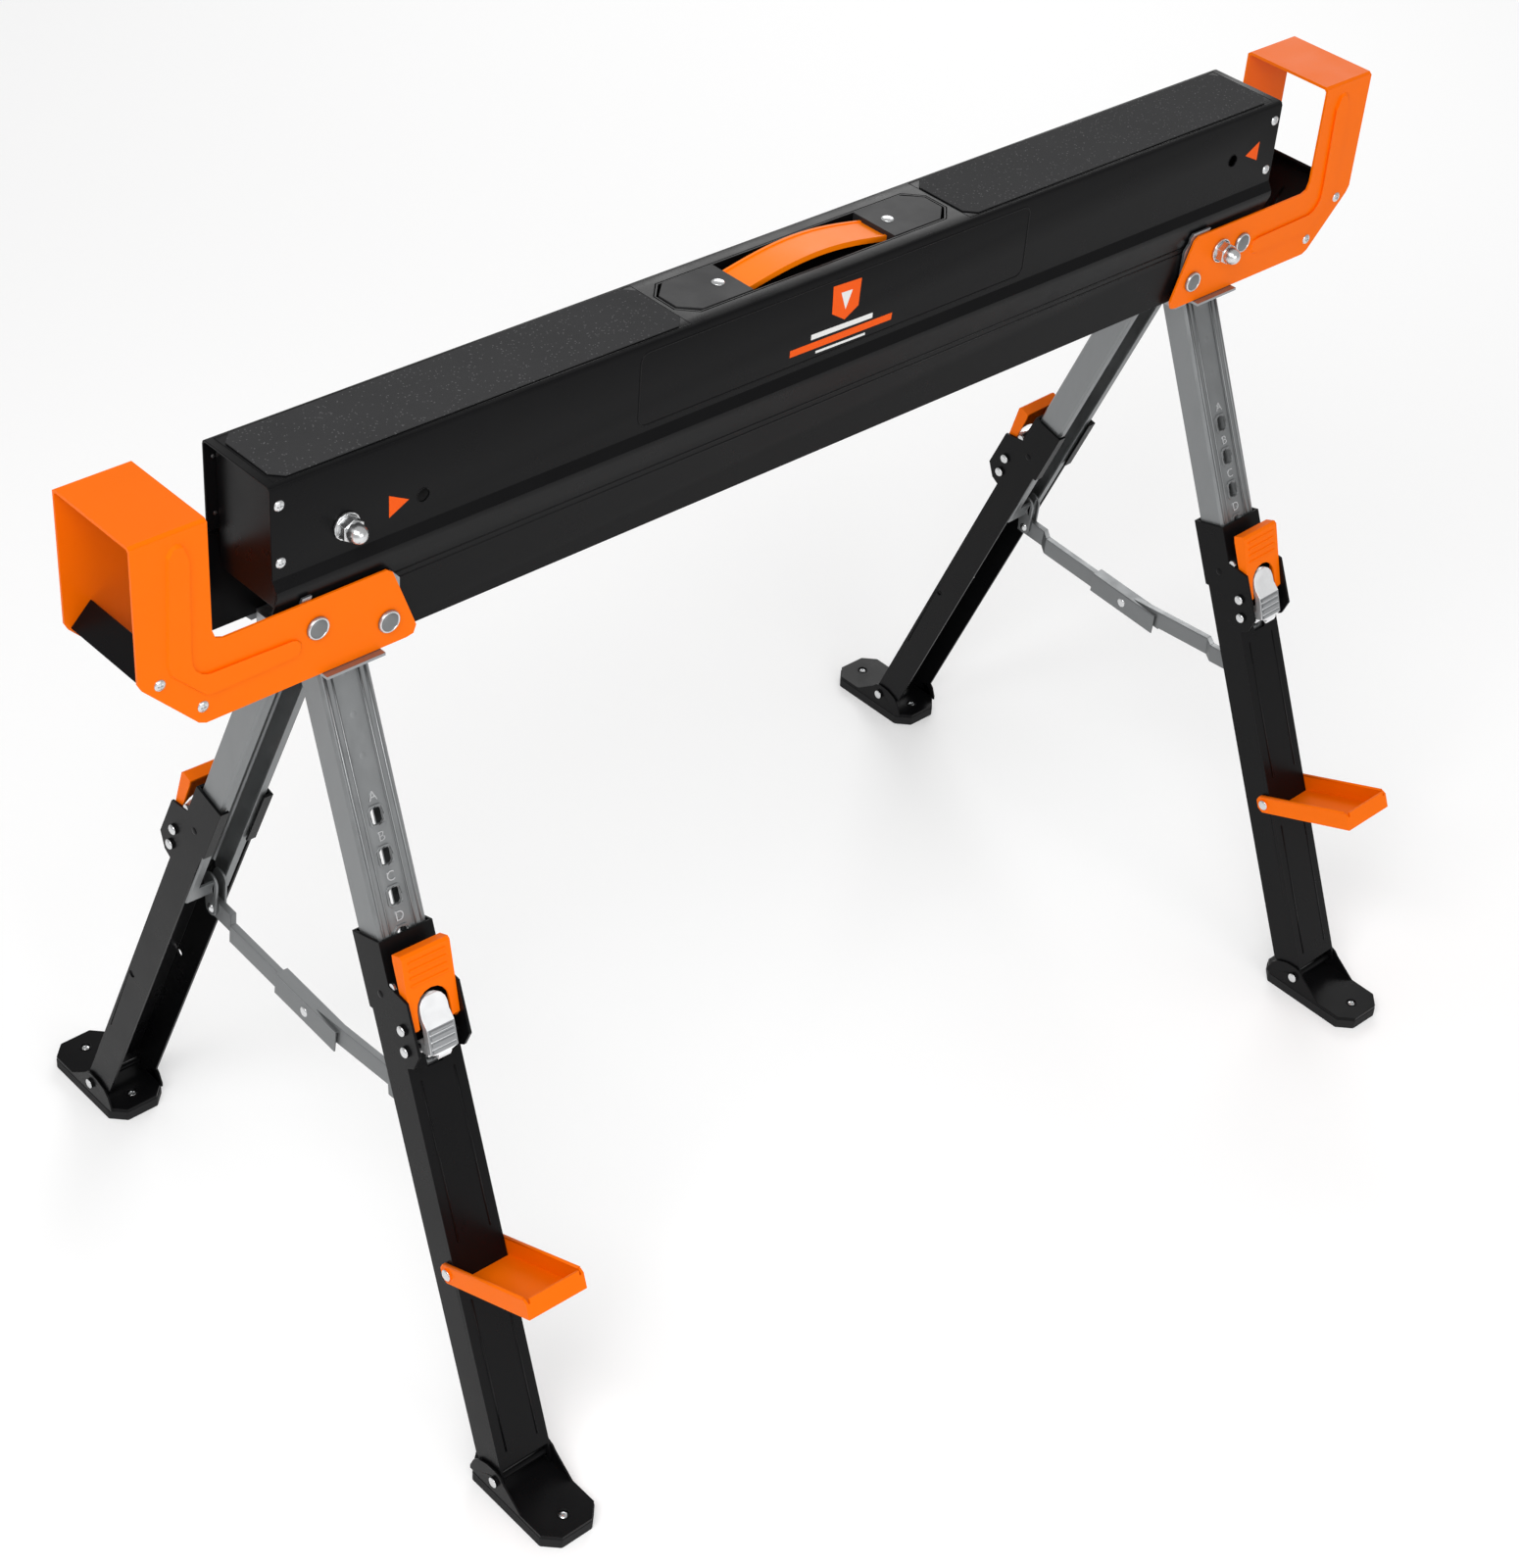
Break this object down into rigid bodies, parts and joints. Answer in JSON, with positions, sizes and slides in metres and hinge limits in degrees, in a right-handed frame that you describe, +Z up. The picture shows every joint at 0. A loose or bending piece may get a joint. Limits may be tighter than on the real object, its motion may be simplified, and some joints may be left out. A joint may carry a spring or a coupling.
{
  "type": "folding sawhorse",
  "caption": "Folding steel sawhorse: channel beam with carry strap and end board brackets on splayed telescoping legs with latches, hinged feet, folding braces and fold-out support arms.",
  "frame": {"origin": "on the floor, under the middle of the beam", "axes": "+X along the beam, +Y from the front to the back, +Z up"},
  "size_m": [1.276, 0.7106, 0.8197],
  "materials": {
    "black_coat": "satin powder coat, black",
    "orange_coat": "gloss powder coat, orange",
    "zinc": "zinc plated, satin",
    "rubber": "moulded rubber, matt",
    "grit": "anti-slip grit",
    "plastic": "fine-grained plastic, black",
    "strap": "flexible plastic, orange"
  },
  "bodies": {
    "beam": {"beam_shell": "black_coat", "handle_tray": "plastic", "carry_strap": "strap", "cap_bolt_left": "zinc", "cap_bolt_right": "zinc", "end_plate_left": "black_coat", "grip_pad_left": "grit", "handle_plate_left": "plastic", "outer_bolt_left": "zinc", "inner_bolt_left": "zinc", "end_bracket_left": "orange_coat", "bracket_channel_left": "black_coat", "saddle_plate_left_front": "zinc", "saddle_plate_left_back": "zinc", "yoke_pin_left": "zinc", "end_plate_right": "black_coat", "grip_pad_right": "grit", "handle_plate_right": "plastic", "outer_bolt_right": "zinc", "inner_bolt_right": "zinc", "end_bracket_right": "orange_coat", "bracket_channel_right": "black_coat", "saddle_plate_right_front": "zinc", "saddle_plate_right_back": "zinc", "yoke_pin_right": "zinc"},
    "yoke_left": {"yoke_left": "zinc"},
    "yoke_right": {"yoke_right": "zinc"},
    "upper_leg_left_front": {"upper_leg_left_front": "zinc"},
    "lower_leg_left_front": {"lower_leg_left_front": "black_coat"},
    "lever_left_front": {"latch_lever_left_front": "orange_coat"},
    "tongue_left_front": {"latch_tongue_left_front": "zinc"},
    "foot_left_front": {"foot_plate_left_front": "black_coat", "foot_pad_left_front": "rubber"},
    "brace_left_front": {"brace_left_front": "zinc"},
    "support_arm_left": {"support_arm_left": "orange_coat"},
    "upper_leg_left_back": {"upper_leg_left_back": "zinc"},
    "lower_leg_left_back": {"lower_leg_left_back": "black_coat"},
    "lever_left_back": {"latch_lever_left_back": "orange_coat"},
    "tongue_left_back": {"latch_tongue_left_back": "zinc"},
    "foot_left_back": {"foot_plate_left_back": "black_coat", "foot_pad_left_back": "rubber"},
    "brace_left_back": {"brace_left_back": "zinc"},
    "upper_leg_right_front": {"upper_leg_right_front": "zinc"},
    "lower_leg_right_front": {"lower_leg_right_front": "black_coat"},
    "lever_right_front": {"latch_lever_right_front": "orange_coat"},
    "tongue_right_front": {"latch_tongue_right_front": "zinc"},
    "foot_right_front": {"foot_plate_right_front": "black_coat", "foot_pad_right_front": "rubber"},
    "brace_right_front": {"brace_right_front": "zinc"},
    "support_arm_right": {"support_arm_right": "orange_coat"},
    "upper_leg_right_back": {"upper_leg_right_back": "zinc"},
    "lower_leg_right_back": {"lower_leg_right_back": "black_coat"},
    "lever_right_back": {"latch_lever_right_back": "orange_coat"},
    "tongue_right_back": {"latch_tongue_right_back": "zinc"},
    "foot_right_back": {"foot_plate_right_back": "black_coat", "foot_pad_right_back": "rubber"},
    "brace_right_back": {"brace_right_back": "zinc"}
  },
  "joints": [
    {"name": "leg_fold_left", "type": "hinge", "parent": "beam", "child": "yoke_left", "pos_m": [-0.43, 0, 0.6534], "axis": [0, -1, 0], "range_deg": [0, 90]},
    {"name": "leg_fold_right", "type": "hinge", "parent": "beam", "child": "yoke_right", "pos_m": [0.43, 0, 0.6534], "axis": [0, 1, 0], "range_deg": [0, 75]},
    {"name": "leg_spread_left_front", "type": "hinge", "parent": "yoke_left", "child": "upper_leg_left_front", "pos_m": [-0.46293, -0.017, 0.645], "axis": [0.9994, 0, -0.0349], "range_deg": [0, 19.58]},
    {"name": "brace_turn_left_front", "type": "hinge", "parent": "upper_leg_left_front", "child": "brace_left_front", "pos_m": [-0.48184, -0.13864, 0.30398], "axis": [0.9994, 0, -0.0349], "range_deg": [0, 67.46]},
    {"name": "leg_slide_left_front", "type": "slide", "parent": "upper_leg_left_front", "child": "lower_leg_left_front", "axis": [0.0322, 0.384, 0.9228], "range_m": [0, 0.189]},
    {"name": "latch_lever_left_front", "type": "hinge", "parent": "lower_leg_left_front", "child": "lever_left_front", "pos_m": [-0.47187, -0.14862, 0.38906], "axis": [-0.9994, 0, 0.0349], "range_deg": [-60, 0]},
    {"name": "latch_tongue_left_front", "type": "hinge", "parent": "lower_leg_left_front", "child": "tongue_left_front", "pos_m": [-0.47248, -0.1535, 0.37161], "axis": [0.9994, 0, -0.0349], "range_deg": [-12, 0]},
    {"name": "foot_tilt_left_front", "type": "hinge", "parent": "lower_leg_left_front", "child": "foot_left_front", "pos_m": [-0.48465, -0.28594, 0.02315], "axis": [1, 0, 0], "range_deg": [-20, 20]},
    {"name": "support_arm_left", "type": "hinge", "parent": "lower_leg_left_front", "child": "support_arm_left", "pos_m": [-0.4787, -0.21702, 0.19344], "axis": [-0.9994, 0, 0.0349], "range_deg": [0, 78]},
    {"name": "leg_spread_left_back", "type": "hinge", "parent": "yoke_left", "child": "upper_leg_left_back", "pos_m": [-0.46293, 0.017, 0.645], "axis": [-0.9994, 0, 0.0349], "range_deg": [0, 19.58]},
    {"name": "brace_turn_left_back", "type": "hinge", "parent": "upper_leg_left_back", "child": "brace_left_back", "pos_m": [-0.46785, 0.13864, 0.30349], "axis": [-0.9994, 0, 0.0349], "range_deg": [0, 67.46]},
    {"name": "leg_slide_left_back", "type": "slide", "parent": "upper_leg_left_back", "child": "lower_leg_left_back", "axis": [0.0322, -0.384, 0.9228], "range_m": [0, 0.189]},
    {"name": "latch_lever_left_back", "type": "hinge", "parent": "lower_leg_left_back", "child": "lever_left_back", "pos_m": [-0.47187, 0.14862, 0.38906], "axis": [0.9994, 0, -0.0349], "range_deg": [-60, 0]},
    {"name": "latch_tongue_left_back", "type": "hinge", "parent": "lower_leg_left_back", "child": "tongue_left_back", "pos_m": [-0.47248, 0.1535, 0.37161], "axis": [-0.9994, 0, 0.0349], "range_deg": [-12, 0]},
    {"name": "foot_tilt_left_back", "type": "hinge", "parent": "lower_leg_left_back", "child": "foot_left_back", "pos_m": [-0.48465, 0.28594, 0.02315], "axis": [-1, 0, 0], "range_deg": [-20, 20]},
    {"name": "leg_spread_right_front", "type": "hinge", "parent": "yoke_right", "child": "upper_leg_right_front", "pos_m": [0.46293, -0.017, 0.645], "axis": [0.9994, 0, 0.0349], "range_deg": [0, 19.58]},
    {"name": "brace_turn_right_front", "type": "hinge", "parent": "upper_leg_right_front", "child": "brace_right_front", "pos_m": [0.46785, -0.13864, 0.30349], "axis": [0.9994, 0, 0.0349], "range_deg": [0, 67.46]},
    {"name": "leg_slide_right_front", "type": "slide", "parent": "upper_leg_right_front", "child": "lower_leg_right_front", "axis": [-0.0322, 0.384, 0.9228], "range_m": [0, 0.189]},
    {"name": "latch_lever_right_front", "type": "hinge", "parent": "lower_leg_right_front", "child": "lever_right_front", "pos_m": [0.47187, -0.14862, 0.38906], "axis": [-0.9994, 0, -0.0349], "range_deg": [-60, 0]},
    {"name": "latch_tongue_right_front", "type": "hinge", "parent": "lower_leg_right_front", "child": "tongue_right_front", "pos_m": [0.47248, -0.1535, 0.37161], "axis": [0.9994, 0, 0.0349], "range_deg": [-12, 0]},
    {"name": "foot_tilt_right_front", "type": "hinge", "parent": "lower_leg_right_front", "child": "foot_right_front", "pos_m": [0.48465, -0.28594, 0.02315], "axis": [1, 0, 0], "range_deg": [-20, 20]},
    {"name": "support_arm_right", "type": "hinge", "parent": "lower_leg_right_front", "child": "support_arm_right", "pos_m": [0.4787, -0.21702, 0.19344], "axis": [-0.9994, 0, -0.0349], "range_deg": [0, 78]},
    {"name": "leg_spread_right_back", "type": "hinge", "parent": "yoke_right", "child": "upper_leg_right_back", "pos_m": [0.46293, 0.017, 0.645], "axis": [-0.9994, 0, -0.0349], "range_deg": [0, 19.58]},
    {"name": "brace_turn_right_back", "type": "hinge", "parent": "upper_leg_right_back", "child": "brace_right_back", "pos_m": [0.48184, 0.13864, 0.30398], "axis": [-0.9994, 0, -0.0349], "range_deg": [0, 67.46]},
    {"name": "leg_slide_right_back", "type": "slide", "parent": "upper_leg_right_back", "child": "lower_leg_right_back", "axis": [-0.0322, -0.384, 0.9228], "range_m": [0, 0.189]},
    {"name": "latch_lever_right_back", "type": "hinge", "parent": "lower_leg_right_back", "child": "lever_right_back", "pos_m": [0.47187, 0.14862, 0.38906], "axis": [0.9994, 0, 0.0349], "range_deg": [-60, 0]},
    {"name": "latch_tongue_right_back", "type": "hinge", "parent": "lower_leg_right_back", "child": "tongue_right_back", "pos_m": [0.47248, 0.1535, 0.37161], "axis": [-0.9994, 0, -0.0349], "range_deg": [-12, 0]},
    {"name": "foot_tilt_right_back", "type": "hinge", "parent": "lower_leg_right_back", "child": "foot_right_back", "pos_m": [0.48465, 0.28594, 0.02315], "axis": [-1, 0, 0], "range_deg": [-20, 20]}
  ],
  "couplings": [
    {"joint": "leg_spread_left_front", "follows": "leg_fold_left", "ratio": 0.21755},
    {"joint": "brace_turn_left_front", "follows": "leg_fold_left", "ratio": 0.74958},
    {"joint": "leg_spread_left_back", "follows": "leg_fold_left", "ratio": 0.21755},
    {"joint": "brace_turn_left_back", "follows": "leg_fold_left", "ratio": 0.74958},
    {"joint": "leg_spread_right_front", "follows": "leg_fold_right", "ratio": 0.26107},
    {"joint": "brace_turn_right_front", "follows": "leg_fold_right", "ratio": 0.89949},
    {"joint": "leg_spread_right_back", "follows": "leg_fold_right", "ratio": 0.26107},
    {"joint": "brace_turn_right_back", "follows": "leg_fold_right", "ratio": 0.89949}
  ]
}
